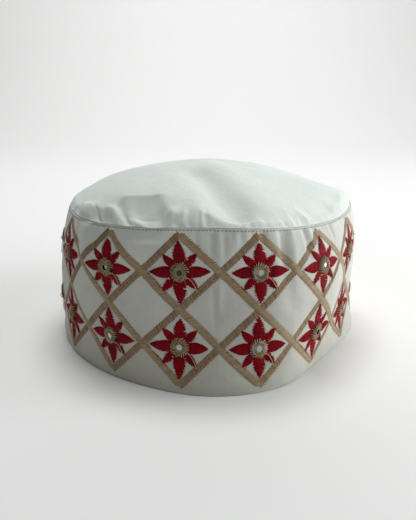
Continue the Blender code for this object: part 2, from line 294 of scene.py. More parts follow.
def wall_relief(around, up):
    """Height of the rumpled cloth above the smooth wall, in millimetres."""
    around, up = np.broadcast_arrays(np.asarray(around, float), np.asarray(up, float))
    strip = lattice_distance(around, up)
    away = fade((flower_distance(around, up) - FLOWER_HEART) / FLOWER_REACH)
    pulled = STITCH_PULL * np.exp(-(strip / PULL_WIDTH) ** 2)
    height = DIAMOND_SWELL * fade(strip / SWELL_REACH) * away - pulled
    below_seam = WALL_HEIGHT - up
    for centre, width, length, depth in puckers:
        reach = np.clip(1.0 - below_seam / length, 0.0, 1.0) ** PUCKER_TAPER
        height = height - depth * hill(wrapped(around - centre), width, width) * reach
    for _, centre, top, foot, left, right, rise, drift in WALL_FOLDS:
        down = np.clip((top - up) / (top - foot), 0.0, 1.0)
        along = fade((1.0 - down) * FOLD_FADE) * fade((top + FOLD_LEAD - up) / FOLD_LEAD)
        across = hill(wrapped(around - centre - drift * down), left, right)
        height = height + FOLD_STRENGTH * rise * across * along
    height = height * (HELD_SHARE + (1.0 - HELD_SHARE) * fade(below_seam / SEAM_HOLD))
    for _, centre, middle, left, right, above, below, rise in WALL_SWELLS:
        height = height + rise * hill(wrapped(around - centre), left, right) * hill(middle - up, above, below)
    turn = 2.0 * math.pi * around / AROUND
    for rise, waves, slope, start in RIPPLES:
        height = height + rise * np.sin(waves * turn + up / slope + start)
    return height


def wall_point(around, up, lift=0.0):
    """Point on the rumpled wall, lifted off it by a height in millimetres."""
    height = wall_relief(around, up) + lift
    return wall_smooth(around, up) + wall_outward(around, up) * height[..., None]


# %% [markdown]
# ## Building a mesh from a net of points
#
# Each cloth is a net of points in rows.  Blender takes lists of corners and faces, so one helper
# makes the faces between neighbouring rows and can close the net both ways.  It also stores a UV
# map in millimetres of flat cloth, which lets the weave follow the cloth instead of the room.

# %% Helpers that make mesh pieces
def new_mesh(name, points, faces, material, uvs=None):
    """One smooth-shaded object from corner points, faces and an optional UV for each face corner."""
    mesh = bpy.data.meshes.new(name)
    mesh.from_pydata(points.tolist(), [], faces)
    mesh.polygons.foreach_set("use_smooth", np.ones(len(faces), bool))
    if uvs is not None:
        layer = mesh.uv_layers.new(name="flat cloth")
        layer.data.foreach_set("uv", np.asarray(uvs, np.float32).ravel())
    mesh.materials.append(material)
    mesh.update()
    obj = bpy.data.objects.new(name, mesh)
    bpy.context.scene.collection.objects.link(obj)
    return obj


def net_faces(rows, columns, wrap_rows):
    """Faces of a net that closes round its columns, and round its rows if asked."""
    row, column = np.meshgrid(np.arange(rows if wrap_rows else rows - 1), np.arange(columns), indexing="ij")
    next_row = (row + 1) % rows
    next_column = (column + 1) % columns
    corners = np.stack([row * columns + column, row * columns + next_column,
                        next_row * columns + next_column, next_row * columns + column], -1)
    flat_row = np.stack([row, row, row + 1, row + 1], -1)
    flat_column = np.stack([column, column + 1, column + 1, column], -1)
    return corners.reshape(-1, 4).tolist(), flat_row.reshape(-1, 4), flat_column.reshape(-1, 4)


def linear(hex_colour):
    """sRGB hex colour to the linear red, green, blue and alpha that Blender works in."""
    channels = [int(hex_colour[place:place + 2], 16) / 255.0 for place in (1, 3, 5)]
    return tuple(c / 12.92 if c <= 0.04045 else ((c + 0.055) / 1.055) ** 2.4 for c in channels) + (1.0,)


def socket_key(name):
    """A socket's name, with an underscore for a space, or its place for i0, i1 and so on."""
    return int(name[1:]) if name[0] == "i" and name[1:].isdigit() else name.replace("_", " ")


def join(material, source, node, socket):
    """Link an output, or a node's first output, into one socket of a node."""
    output = source.outputs[0] if hasattr(source, "outputs") else source
    material.node_tree.links.new(output, node.inputs[socket_key(socket)])


def add_node(material, kind, settings=None, **links):
    """Add one node, set its properties and sockets, and link outputs into its inputs."""
    node = material.node_tree.nodes.new("ShaderNode" + kind)
    for name, value in (settings or {}).items():
        if hasattr(node, name):
            setattr(node, name, value)
        else:
            node.inputs[socket_key(name)].default_value = value
    for name, source in links.items():
        join(material, source, node, name)
    return node


def new_material(name, **settings):
    """Material with its Principled shader's sockets set by name, and colours given as hex."""
    material = bpy.data.materials.new(name)
    material.use_nodes = True
    shader = material.node_tree.nodes["Principled BSDF"]
    for socket, value in settings.items():
        shader.inputs[socket_key(socket)].default_value = linear(value) if isinstance(value, str) else value
    return material, shader


# %% [markdown]
# ## Woven cotton
#
# Both cloths are plain-woven cotton: warp and weft cross one over one, about 26 threads to the
# centimetre.  Up close that is a grid of tiny hills, and from arm's length it is a matt surface
# with faint slubs where a thread is thicker.  Two wave patterns at right angles make the grid,
# stretched noise makes the slubs, and both go into a Bump node.  A picture of cloth would be
# quicker, but it would blur close up and repeat.

# %% Woven cotton of the wall and of the top
THREAD_PITCH = 0.38
# A slub's width and length, and how high it stands beside the weave.
SLUB_SIZE = (0.7, 9.0)
SLUB_HEIGHT = 0.5
# Soft crumples from handling, and faint patches of tone, in waves to a millimetre.
CRUMPLE_SCALE = 0.16
CRUMPLE_HEIGHT = 0.9
PATCH_SCALE = 0.035
# Painted shade: the wall's colour turns darker and warmer toward the rim, over this many millimetres.
RIM_SHADE_COLOUR = "#9E9785"
RIM_SHADE_HEIGHT = 80.0


def woven_cotton(name, light, dark, bump_height, sheen, rim_shade_share):
    """Plain-woven cotton: hex colours of light and dark patches, relief, sheen, and share of painted shade at
    the rim.
    """
    material, shader = new_material(name, Roughness=0.86, IOR=1.47, Sheen_Weight=sheen, Sheen_Roughness=0.45)
    flat = add_node(material, "UVMap", {"uv_map": "flat cloth"})
    parts = add_node(material, "SeparateXYZ", Vector=flat)
    waves, slubs = [], []
    for axis, size in (("X", SLUB_SIZE), ("Y", SLUB_SIZE[::-1])):
        angle = add_node(material, "Math", {"operation": "MULTIPLY", "i1": math.pi / THREAD_PITCH},
                         i0=parts.outputs[axis])
        waves.append(add_node(material, "Math", {"operation": "SINE"}, i0=angle))
        scaled = add_node(material, "VectorMath",
                          {"operation": "MULTIPLY", "i1": (1.0 / size[0], 1.0 / size[1], 1.0)}, i0=flat)
        slubs.append(add_node(material, "TexNoise", {"Scale": 1.0, "Detail": 2.0}, Vector=scaled))
    weave = add_node(material, "Math", {"operation": "MULTIPLY"}, i0=waves[0], i1=waves[1])
    slub = add_node(material, "Math", {"operation": "ADD"}, i0=slubs[0], i1=slubs[1])
    crumple = add_node(material, "TexNoise", {"Scale": CRUMPLE_SCALE, "Detail": 3.0}, Vector=flat)
    patches = add_node(material, "TexNoise", {"Scale": PATCH_SCALE, "Detail": 3.0}, Vector=flat)
    mixed = add_node(material, "Math", {"operation": "MULTIPLY_ADD", "i1": 0.35}, i0=slub, i2=patches)
    tint = add_node(material, "ValToRGB", Fac=mixed)
    for stop, place, tone in zip(tint.color_ramp.elements, (0.55, 1.0), (dark, light)):
        stop.position, stop.color = place, linear(tone)
    # Painted shade: a darker, warmer colour is mixed in toward the rim, by height on the cloth.
    rim_shade_mask = add_node(material, "MapRange",
                    {"From Min": RIM_SHADE_HEIGHT, "From Max": 0.0, "To Max": rim_shade_share},
                    Value=parts.outputs["Y"])
    rim_shaded_colour = add_node(material, "Mix", {"data_type": "RGBA", "i7": linear(RIM_SHADE_COLOUR)}, Factor=rim_shade_mask, i6=tint)
    join(material, rim_shaded_colour.outputs[2], shader, "Base Color")
    fine = add_node(material, "Math", {"operation": "MULTIPLY_ADD", "i1": SLUB_HEIGHT}, i0=slub, i2=weave)
    soft = add_node(material, "Bump", {"Strength": 0.5, "Distance": CRUMPLE_HEIGHT * MM}, Height=crumple)
    bump = add_node(material, "Bump", {"Strength": 1.0, "Distance": bump_height * MM},
                    Height=fine, Normal=soft)
    join(material, bump, shader, "Normal")
    return material


# The wall takes 0.42 of the painted shade at the rim, the top none.
wall_cotton = woven_cotton("doubled woven cotton", "#DEE1DB", "#D5D7D0", 0.05, 0.05, 0.42)
top_cotton = woven_cotton("fine woven cotton", "#DFE6E2", "#D8DFDB", 0.03, 0.08, 0.0)

# %% [markdown]
# ## The side wall
#
# The wall is one thin hoop of cloth: the outside, a rolled rim, the lining side and the top edge.
# Its cross-section is a closed loop of points, and the hoop is that loop carried all the way
# round.  The rim is rounded because the cloth is folded there, not cut.

# %% The wall of stiffened cloth
CLOTH_THICKNESS = 2.2
# Radius of the folded rim and of the top edge, and how much of its radius the top edge rolls in.
EDGE_ROUNDING = 1.1
TOP_ROUNDING = 0.7
TOP_ROLL = 0.55
# The top edge is a thin fold of cloth down to this depth, so that the top can tuck in behind it.
HEM_THICKNESS = 0.5
HEM_DEPTH = 3.0
WALL_NET_COLUMNS = 840
OUTER_STEP = 1.05
INNER_STEP = 7.0
# Share of the outside's relief that shows on the lining side and behind the top edge.
LINING_RUMPLE = 0.4
HEM_RUMPLE = 0.3
# The cloth lies smooth over this height above the rim.
RIM_SMOOTH = 6.0


def rounded_back(up, radius):
    """How far a rounded edge steps back at a distance from its end."""
    left = np.clip(radius - up, 0.0, radius)
    return radius - math.sqrt(max(radius ** 2 - left ** 2, 0.0))


rim_heights = [0.0, 0.08, 0.25, 0.55, 1.0]
top_heights = [WALL_HEIGHT - gap for gap in (1.1, 0.7, 0.4, 0.2, 0.06)]
hem_foot = WALL_HEIGHT - HEM_DEPTH
outer_heights = rim_heights + list(np.arange(1.8, WALL_HEIGHT - 1.5, OUTER_STEP)) + top_heights
inner_heights = rim_heights[1:] + list(np.arange(6.0, hem_foot - 1.5, INNER_STEP))
# Each row of the net: height, depth behind the outer face and share of the relief.
wall_rows = [(up, rounded_back(up, EDGE_ROUNDING) + TOP_ROLL * rounded_back(WALL_HEIGHT - up, TOP_ROUNDING),
              1.0) for up in outer_heights[::-1]]
wall_rows += [(up, CLOTH_THICKNESS - rounded_back(up, EDGE_ROUNDING), LINING_RUMPLE) for up in inner_heights]
wall_rows += [(hem_foot, CLOTH_THICKNESS, HEM_RUMPLE), (hem_foot + 0.3, HEM_THICKNESS, HEM_RUMPLE),
              (WALL_HEIGHT - 0.25, HEM_THICKNESS, HEM_RUMPLE)]

wall_around = np.arange(WALL_NET_COLUMNS) * AROUND / WALL_NET_COLUMNS
wall_net = []
for up, depth, rumple in wall_rows:
    heights = np.full(WALL_NET_COLUMNS, up)
    raised = wall_relief(wall_around, heights) * rumple * fade(up / RIM_SMOOTH) - depth
    wall_net.append(wall_smooth(wall_around, heights) + wall_outward(wall_around, heights) * raised[:, None])
wall_net = np.array(wall_net)
wall_net[..., 2] = np.maximum(wall_net[..., 2], 0.0)
wall_faces, face_rows, face_columns = net_faces(len(wall_rows), WALL_NET_COLUMNS, wrap_rows=True)
row_up = np.array([row[0] for row in wall_rows] + [wall_rows[0][0]])
wall_uv = np.stack([face_columns * AROUND / WALL_NET_COLUMNS, row_up[face_rows]], -1)
side_wall = new_mesh("side_wall_cloth", to_world(wall_net.reshape(-1, 3)), wall_faces, wall_cotton, wall_uv)
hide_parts("side_band")
print("side wall:", len(wall_faces), "faces")

# %% [markdown]
# ## The soft top
#
# The top is a disc of thinner cotton, larger than the hole it fills, so it puffs up and its extra
# cloth falls into gathers.  Its height is read along spokes from a table, its named folds come
# from a second table, and short pleats start at the seam where the cloth was eased in.

# %% Height of the top
CROWN_RISE = 24.0
CROWN_BASE = 84.8
CROWN_PLACES = (0.0, 0.35, 0.60, 0.80, 0.93, 0.97, 1.0)
# Angle, then height above the seam at 35, 60, 80, 93 and 97 hundredths of the way out to the seam.
CROWN_SECTIONS = np.array((
    (-180, 20, 15, 9, 4.5, 2.4),
    (-157.5, 20, 15.5, 9.5, 4.5, 2.4),
    (-135, 20.5, 15.5, 10, 4.5, 2.4),
    (-112.5, 20.5, 16, 10.5, 4.5, 2.4),
    (-90, 21, 17, 10.5, 4.6, 2.9),
    (-67.5, 21.5, 17.3, 11.2, 5.7, 3.9),
    (-45, 22, 18.5, 13.4, 7.4, 5.2),
    (-22.5, 22, 18.3, 13.3, 6.9, 3.5),
    (0, 21.5, 17, 11.3, 6.2, 3.5),
    (22.5, 21, 16.5, 11, 6, 3.4),
    (45, 20.5, 16, 11, 6.2, 3.7),
    (67.5, 20.5, 15.5, 10.6, 6.4, 4.4),
    (90, 20.5, 14.5, 9, 5.3, 3.7),
    (112.5, 20.5, 14.5, 8, 3.5, 2),
    (135, 20, 14.5, 8.5, 3.5, 2),
    (157.5, 20, 15, 9, 4, 2.2),
))
# Folds in plan: start, end, width on the left and on the right of that line, rise, and how
# peaked the crest is (2 is round, 1 is sharp).
CROWN_FOLDS = (
    ("brow over the left of the front", -44, -62, -27, -67, 14, 4, 0.9, 2),
    ("hollow under the brow", -34, -75, -30, -90, 7.5, 7, -3.3, 2),
    ("shaded foot of the hollow", -24, -79, -24, -91, 2.6, 4.5, -1.6, 2),
    ("ridge beside the hollow", -22.6, -71.5, -18.5, -82, 12, 2.6, 1.4, 1.35),
    ("foot of that ridge", -19, -82, -18.5, -88, 4.5, 3, 1.2, 1.5),
    ("ridge down to the front", -4, -81, 9, -87.5, 8, 2.2, 1, 1.3),
    ("notch under its start", -1, -83.5, 3, -87, 1.4, 1.8, -0.6, 2),
    ("crest over the crushed cloth", -64, -56, -52, -68.5, 6, 2, 1.5, 1.4),
    ("tongue", -52, -68.5, -45.5, -77, 2.4, 3, 2.6, 1.35),
    ("crushed hollow at the left", -60, -64, -52.5, -73, 3, 5, -1.6, 2),
    ("valley right of the tongue", -46, -66, -42, -78, 2.4, 2, -2.1, 1.8),
    ("edge of the brow", -43.5, -62.5, -25.5, -68, 2.8, 1.5, 0.9, 1.3),
    ("crease in the crushed part", -62, -60, -56.5, -70.5, 1, 1.3, -1.6, 1.5),
    ("second crease there", -56, -66, -53, -73.5, 0.9, 1.2, -1.2, 1.6),
    ("third crease there", -52.5, -69, -50, -75, 0.9, 1.2, -1.2, 1.6),
    ("crest at the far left", -69.5, -49, -68, -55, 1.8, 2.2, 1.8, 1.4),
    ("pinch at the far left", -73, -46, -71, -51.5, 1.5, 1.5, -2, 1.8),
    ("knuckle at the far left", -76, -41, -74, -47.5, 1.7, 2, 1.6, 1.4),
    ("long valley right of the middle", -5, -36, 13, -80, 9, 8.5, -3.4, 2),
    ("dent at the foot of that valley", 17, -72, 19, -80, 6, 6, -1.3, 2),
    ("long ridge toward the right", 10, -18, 78, -10, 15, 15, 1.2, 2),
    ("dent at the right of the front", 54, -60, 68, -44, 5, 5, -1.8, 2),
    ("dent right of the middle", 30, -79, 44, -72, 5, 4, -1.4, 2),
    ("small flap near the seam", 18.5, -84, 27, -81.5, 1.8, 0.9, 0.4, 1.5),
    ("fold at the far right", 81, -12, 78.5, -34, 1.4, 2.6, 0.7, 1.4),
)
FOLD_EDGE_SHARE = 0.05


def fold_sum(x, y, folds):
    """Height in millimetres that a table of folds adds at points in plan."""
    height = 0.0
    for _, start_x, start_y, end_x, end_y, left, right, rise, peak in folds:
        line_x, line_y = end_x - start_x, end_y - start_y
        off_x, off_y = x - start_x, y - start_y
        share = np.clip((off_x * line_x + off_y * line_y) / (line_x ** 2 + line_y ** 2), 0.0, 1.0)
        distance = np.hypot(off_x - share * line_x, off_y - share * line_y)
        turned = (line_x * off_y - line_y * off_x) / np.maximum(distance * math.hypot(line_x, line_y), 1e-6)
        mix = fade(0.5 + 0.5 * np.clip(turned, -1.0, 1.0))
        height = height + rise * np.exp(-(distance / (right + (left - right) * mix)) ** peak)
    return height


def spoke_height(angle, out):
    """Height of the unfolded top at a share of the way out, a smooth curve along each spoke."""
    heights = [np.full_like(angle, CROWN_RISE)]
    heights += [round_value(column, angle) for column in CROWN_SECTIONS.T[1:]]
    heights.append(np.zeros_like(angle))
    places = CROWN_PLACES
    slopes = [0.0 * angle]
    for index in range(1, len(places) - 1):
        slopes.append((heights[index + 1] - heights[index - 1]) / (places[index + 1] - places[index - 1]))
    slopes.append((heights[-1] - heights[-2]) / (places[-1] - places[-2]))
    index = max(0, min(int(np.searchsorted(places, out)) - 1, len(places) - 2))
    width = places[index + 1] - places[index]
    part = (out - places[index]) / width
    rest = 1.0 - part
    value = ((1.0 + 2.0 * part) * rest ** 2 * heights[index]
             + (1.0 + 2.0 * rest) * part ** 2 * heights[index + 1])
    return value + part * rest * width * (rest * slopes[index] - part * slopes[index + 1])


# %% [markdown]
# ### Pleats along the seam
#
# A pleat is deepest at the seam and dies away inward.  Each one is a narrow hill or valley with
# its own place, width, length and height.  Most are drawn from a seeded random source, and the
# strong ones at the left of the front are listed, because there the cloth is crushed.

# %% Pleats of the top
# Random pleats: how many, then the ranges of place round the cap, half width, length and rise.
random_pleats = drawn(230, (0.0, AROUND), (0.7, 1.9), (4.0, 14.0), (-0.32, 0.32))
# The pleats flatten over this distance from the seam.
PLEAT_START = 1.6
# Where round the cap, half width, length inward, rise and how far it slants as it runs inward.
NAMED_PLEATS = (
    ("left of the ridge", -5.2, 1, 11, 0.5, 0.25),
    ("beside it", -2.6, 1.3, 13, -0.6, 0.2),
    ("first under the ridge", 2.3, 0.8, 11, 0.6, 0),
    ("second under the ridge", 4.9, 1, 11, -0.6, 0),
    ("third under the ridge", 6.6, 0.7, 8, 0.3, 0),
    ("fourth under the ridge", 8.6, 0.9, 12, 0.6, 0.1),
    ("fifth under the ridge", 10.4, 0.8, 10, -0.6, 0),
    ("sixth under the ridge", 12.3, 1.3, 15, 0.55, -0.05),
    ("seventh under the ridge", 14.8, 1, 12, -0.6, -0.15),
    ("eighth under the ridge", 18, 1.3, 7, 0.35, -0.4),
    ("right of the light triangle", -48, 1.3, 8, -1.3, -2.4),
    ("light triangle", -66, 6, 10, 1.6, -0.8),
    ("second crushed crease", -44.2, 1, 8, -0.8, -1.2),
    ("third crushed crease", -40.6, 1, 8, -0.8, -0.6),
    ("flap in the hollow", -21.5, 2.6, 7, 1.3, -1),
    ("crease left of the flap", -27.5, 1.3, 8, -1.1, -1.4),
    ("in the hollow", -20, 1.6, 9, 0.35, 0.1),
    ("in the hollow, second", -11.5, 1.4, 12, -0.4, 0.2),
    ("right of the middle", 38.5, 1.6, 9, -0.3, 0.1),
    ("right of the middle, second", 47, 1.8, 12, -0.35, 0),
    ("right of the middle, third", 59, 1.4, 10, -0.4, 0),
    ("right of the middle, fourth", 73, 1.8, 13, -0.45, 0),
)
all_pleats = [(*row, 0.0) for row in random_pleats] + [row[1:] for row in NAMED_PLEATS]


def pleat_height(around, inward):
    """Height that pleats add at a distance inward from the seam, in millimetres."""
    height = np.zeros_like(around)
    for centre, width, length, rise, slant in all_pleats:
        wide = width * (1.0 + inward / length)
        across = hill(wrapped(around - centre - slant * inward), wide, wide)
        height = height + rise * across * fade(1.0 - inward / length)
    return height * fade(inward / PLEAT_START + 0.1)


def crown_smooth(around, out):
    """Points of the top with its folds but without pleats."""
    turn = around / AROUND
    seam_x, seam_y, angle = stations[-1].at(turn)
    seam_z = round_value(section("seam_height"), angle)
    x, y = seam_x * out, seam_y * out
    folds = fold_sum(x, y, CROWN_FOLDS) * min(1.0, (1.0 - out) / FOLD_EDGE_SHARE)
    z = CROWN_BASE * (1.0 - out) + seam_z * out + spoke_height(angle, out) + folds
    return np.stack([x, y, z], -1)


# Steps over which the top's slope is measured: millimetres round it, and a share of the way out.
TURN_STEP = 0.3
OUT_STEP = 0.004


def crown_row(around, out):
    """Points of the finished top at a share of the way out, and the directions square to it."""
    here = crown_smooth(around, out)
    side = crown_smooth(around + TURN_STEP, out) - crown_smooth(around - TURN_STEP, out)
    inner, outer = max(out - OUT_STEP, 0.001), min(out + OUT_STEP, 1.0)
    outward = crown_smooth(around, outer) - crown_smooth(around, inner)
    square = unit(np.cross(outward, side))
    inward = (1.0 - out) * np.hypot(here[:, 0], here[:, 1]) / max(out, 0.05)
    return here + square * pleat_height(around, inward)[:, None], square


# %% The cloth of the top
CROWN_NET_COLUMNS = 640
CROWN_THICKNESS = 1.8
# Rows of the net from the middle out: first and last share of the way, and how many.
CROWN_ROWS = ((0.012, 0.72, 50), (0.73, 0.995, 64))
# The rows that are repeated on the lining side, from the seam inward.
UNDERSIDE = slice(-3, None, -9)
TUCK_DEPTH = 6.5
# The turned edge, as distances out from the seam line and up from it: it starts all but flush with
# the wall's face, dips behind the wall's folded edge and hangs inside.
EDGE_ROLL = ((-0.02, 0.25), (-0.17, 0.05), (-0.65, -0.3), (-0.8, -1.6), (-2.5, -3.4),
             (-2.5, -TUCK_DEPTH), (-4.1, -TUCK_DEPTH), (-4.1, 0.6))
crown_around = np.arange(CROWN_NET_COLUMNS) * AROUND / CROWN_NET_COLUMNS
outs = np.concatenate([np.linspace(*rows) for rows in CROWN_ROWS])
crown_outer, crown_square = zip(*[crown_row(crown_around, float(out)) for out in outs])
seam_line = crown_smooth(crown_around, 1.0)
seam_out = unit(seam_line * (1.0, 1.0, 0.0))
upward = np.array((0.0, 0.0, 1.0))
edge_rows = [seam_line + seam_out * out + upward * rise for out, rise in EDGE_ROLL]
under_rows = [row - square * CROWN_THICKNESS
              for row, square in zip(crown_outer[UNDERSIDE], crown_square[UNDERSIDE])]
crown_net = np.array(list(crown_outer) + edge_rows + under_rows)
crown_faces = net_faces(len(crown_net), CROWN_NET_COLUMNS, wrap_rows=False)[0]
# Two fans of triangles close the middle, one outside and one on the lining side.
middle_top = np.array((0.0, 0.0, CROWN_BASE + CROWN_RISE + float(fold_sum(0.0, 0.0, CROWN_FOLDS))))
points = np.concatenate([crown_net.reshape(-1, 3), [middle_top, middle_top - upward * CROWN_THICKNESS]])
column = np.arange(CROWN_NET_COLUMNS)
after = np.roll(column, -1)
last_row = (len(crown_net) - 1) * CROWN_NET_COLUMNS
hub = np.full(CROWN_NET_COLUMNS, len(points) - 2)
top_fan = np.stack([after, column, hub], -1)
lining_fan = np.stack([last_row + after, last_row + column, hub + 1], -1)
# The lining's fan is flipped to face down.  Its flat corners keep the order of the fan above.
fans = np.concatenate([top_fan, lining_fan[:, ::-1]])
corners = np.concatenate([np.ravel(crown_faces), top_fan.ravel(), lining_fan.ravel()])
soft_top = new_mesh("soft_top_cloth", to_world(points), crown_faces + fans.tolist(), top_cotton,
                    points[corners, :2])
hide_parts("crown")
print("soft top:", len(crown_faces) + len(fans), "faces, height mm:",
      round(float(crown_net[..., 2].max()), 1))

# %% [markdown]
# ## Embroidery thread
#
# The thread is rayon, spun with a slight twist.  It shines along its length like hair, so a
# satin-stitched patch changes tone with the direction of its stitches; in the lattice that change
# is painted sheen, a lighter colour on one direction of strip and a darker one on the other.
# Each stitch here is a real little arch of mesh: a picture of stitches would lose the saw-tooth
# edges that make the work look hand-guided.  A random value per stitch, kept in a colour
# attribute, shifts its tone.

# %% Rayon thread
def rayon_thread(name, light, dark, deep, roughness, gloss):
    """Rayon thread in three hex tones, chosen by each stitch's own value, with a share of gloss."""
    material, shader = new_material(name, Roughness=roughness, IOR=1.45, Anisotropic=0.4,
                                    Sheen_Weight=0.02, Sheen_Roughness=0.3, Specular_IOR_Level=gloss)
    tone = add_node(material, "Attribute", {"attribute_name": "stitch_tone"})
    ramp = add_node(material, "ValToRGB", Fac=tone.outputs["Fac"])
    ramp.color_ramp.elements[0].color = linear(deep)
    ramp.color_ramp.elements[1].color = linear(light)
    middle = ramp.color_ramp.elements.new(0.35)
    middle.color = linear(dark)
    join(material, ramp.outputs["Color"], shader, "Base Color")
    return material


tan_thread = rayon_thread("tan rayon thread", "#B7A181", "#917A5E", "#5C4A36", 0.48, 0.35)
red_thread = rayon_thread("red rayon thread", "#9E0014", "#7E0010", "#520009", 0.6, 0.12)
# Thread laid under the rings first, a real padding; its dark brown is painted shade, so it shows only as dark
# lines between their spokes.
shaded_thread = rayon_thread("padding thread painted with the shade between spokes", "#4A3A2A", "#3A2D20", "#2C2218", 0.8, 0.1)

THREAD_ROUNDNESS = 0.45
# How steeply a stitch rises from its ends: the smaller, the steeper.
ARCH_POWER = 0.55


def set_tone(obj, tones):
    """Store a tone for each corner point, which the thread's colours are chosen by."""
    tone = obj.data.attributes.new("stitch_tone", "FLOAT", "POINT")
    tone.data.foreach_set("value", np.asarray(tones, np.float32))


def laid(around, up, lift):
    """Points of threads laid on the wall, and the directions out from it and across each thread."""
    middle = wall_point(around, up, lift)
    outward = wall_outward(around, up)
    return middle, outward, unit(np.cross(outward, unit(np.gradient(middle, axis=1))))


def sewn_mesh(name, net, material, tones):
    """Mesh of separate stitches, from their points (stitch, step along, point across) and tones."""
    count, steps, wide = net.shape[:3]
    index = np.arange(count * steps * wide).reshape(count, steps, wide)
    faces = np.stack([index[:, :-1, :-1], index[:, :-1, 1:], index[:, 1:, 1:], index[:, 1:, :-1]], -1)
    obj = new_mesh(name, to_world(net.reshape(-1, 3)), faces.reshape(-1, 4).tolist(), material)
    set_tone(obj, np.repeat(tones, steps * wide))
    print(name + ":", count, "stitches")
    return obj


def stitches(name, start, end, lift, width, material, points_along=5, end_lift=0.08, sheen_shift=0.0,
             evenness=7.0):
    """Many stitches as one mesh: each arches from start to end, given as (around, up) in flat cloth."""
    share = np.linspace(0.0, 1.0, points_along)
    path = start[:, None, :] + (end - start)[:, None, :] * share[None, :, None]
    arch = (4.0 * share * (1.0 - share)) ** ARCH_POWER
    height = end_lift + (np.reshape(lift, (-1, 1)) - end_lift) * arch[None, :]
    middle, outward, across = laid(path[..., 0], path[..., 1], height)
    half = width / 2.0
    drop = outward * half * THREAD_ROUNDNESS
    net = np.stack([middle - across * half - drop, middle, middle + across * half - drop], 2)
    return sewn_mesh(name, net, material, rng.beta(evenness, evenness, len(start)) + sheen_shift)


# %% [markdown]
# ## The lattice
#
# Straight strips of satin stitch cross the wall both ways and make two rows of small diamonds
# with blank ones between.  A strip is a row of parallel stitches a thread apart, each a little
# longer or shorter than the next.  They lie at a slant, which gives the strips their saw teeth.

# %% Strips of satin stitch
STRIP_WIDTH = 3.7
STITCH_PITCH = 0.43
THREAD_WIDTH = 0.58
# How unevenly a hand ends its stitches, and lays them.
END_ERROR = 0.09
LAY_ERROR = 0.02
# Every third stitch is a tooth that reaches out on one side and draws back on the other.
TEETH_STITCHES = 3
# Name, columns crossed in each row, slant of the stitches in degrees, height above the cloth,
# reach of the teeth on each side, and shift in tone: painted sheen, lighter on the falling strips
# and darker on the rising ones.
LATTICE = (
    ("lattice_rising", -0.5, -62.0, 0.38, (0.3, 0.2), -0.12),
    ("lattice_falling", 0.5, 14.0, 0.52, (0.6, 0.45), 0.18),
)


def strip_stitches(lean, slant, teeth):
    """Start and end points of every stitch in the strips that lean one way."""
    run = np.array((-lean * PITCH * 4.0, QUARTER * 4.0))
    length = math.hypot(*run)
    along = run / length
    square = np.array((-along[1], along[0]))
    stitch = np.array((math.cos(math.radians(slant)), math.sin(math.radians(slant))))
    if stitch @ square < 0:
        stitch = -stitch
    steps = np.arange(0.0, length, STITCH_PITCH)
    reach = STRIP_WIDTH / 2.0 / abs(stitch @ square)
    comb = np.cos(np.arange(len(steps)) * 2.0 * math.pi / TEETH_STITCHES)
    starts, ends = [], []
    for column in range(MIRROR_COLUMNS):
        spots = np.array((column * PITCH, ORNAMENT_FOOT)) + along * steps[:, None]
        low = reach + teeth[0] * comb + rng.normal(0.0, END_ERROR, len(steps))
        high = reach - teeth[1] * comb + rng.normal(0.0, END_ERROR, len(steps))
        starts.append(spots - stitch * low[:, None])
        ends.append(spots + stitch * high[:, None])
    return np.concatenate(starts), np.concatenate(ends)


lattice = []
# The tone shift of each direction is painted sheen on all its stitches.
for title, lean, slant, lift, teeth, painted_sheen in LATTICE:
    start, end = strip_stitches(lean, slant, teeth)
    lifts = lift + rng.normal(0.0, LAY_ERROR, len(start))
    lattice.append(stitches(title, start, end, lifts, THREAD_WIDTH, tan_thread, sheen_shift=painted_sheen))

# %% [markdown]
# ### Red guide stitches
#
# The pattern was first marked with running stitches in the red thread.  Along the two lower
# sides of each flower's diamond they were not quite covered and show as thin red dashes.

# %% Guide stitches beside the lower strips
GUIDE_LENGTH = 2.4
GUIDE_PITCH = 3.1
# They run along this share of the diamond's side and stop this far from its end.
GUIDE_REACH = 0.62
GUIDE_STOP = 3.0
# Side of the diamond, and how far inside the middle of its strip they run.
GUIDE_SIDES = ((-1.0, 0.45 * STRIP_WIDTH), (1.0, -0.3))
GUIDE_LIFT = 0.62
GUIDE_WIDTH = 0.3
flower_centres = np.array([(column * PITCH, ORNAMENT_FOOT + row * QUARTER)
                           for row in (1.0, 3.0) for column in range(MIRROR_COLUMNS)])
guide_starts, guide_ends = [], []
side_run = np.array((PITCH / 2.0, QUARTER))
side_length = math.hypot(*side_run)
for foot in flower_centres - (0.0, QUARTER):
    for hand, inset in GUIDE_SIDES:
        along = side_run * (hand, 1.0) / side_length
        inner = np.array((-hand * along[1], abs(along[0])))
        for start in np.arange(side_length * (1.0 - GUIDE_REACH), side_length - GUIDE_STOP, GUIDE_PITCH):
            start = start + rng.uniform(-0.4, 0.4)
            off = inner * (inset + rng.uniform(-0.15, 0.25))
            guide_starts.append(foot + along * start + off)
            guide_ends.append(foot + along * (start + GUIDE_LENGTH * rng.uniform(0.6, 1.1)) + off)
guide_stitches = stitches("guide_stitches", np.array(guide_starts), np.array(guide_ends),
                          GUIDE_LIFT, GUIDE_WIDTH, red_thread)

# %% [markdown]
# ## The flowers
#
# Each mirror sits in an eight-petalled flower: four long petals upright and across, four short
# ones between.  A petal is one row of satin stitches from side to side, at a slight slant.  Its
# outline is a simple curve, widest near the mirror, and a comb of longer stitches barbs it.

# %% Petals in satin stitch
PETAL_START = 3.6
PETAL_PITCH = 0.36
PETAL_THREAD = 0.44
PETAL_LIFT = 0.42
PETAL_SLANT = 0.18
# Distance of the tip from the mirror's middle, half width, and where the petal is widest.
LONG_PETAL = (16.1, 3.05, 7.8)
SHORT_PETAL = (13.2, 2.15, 7.6)
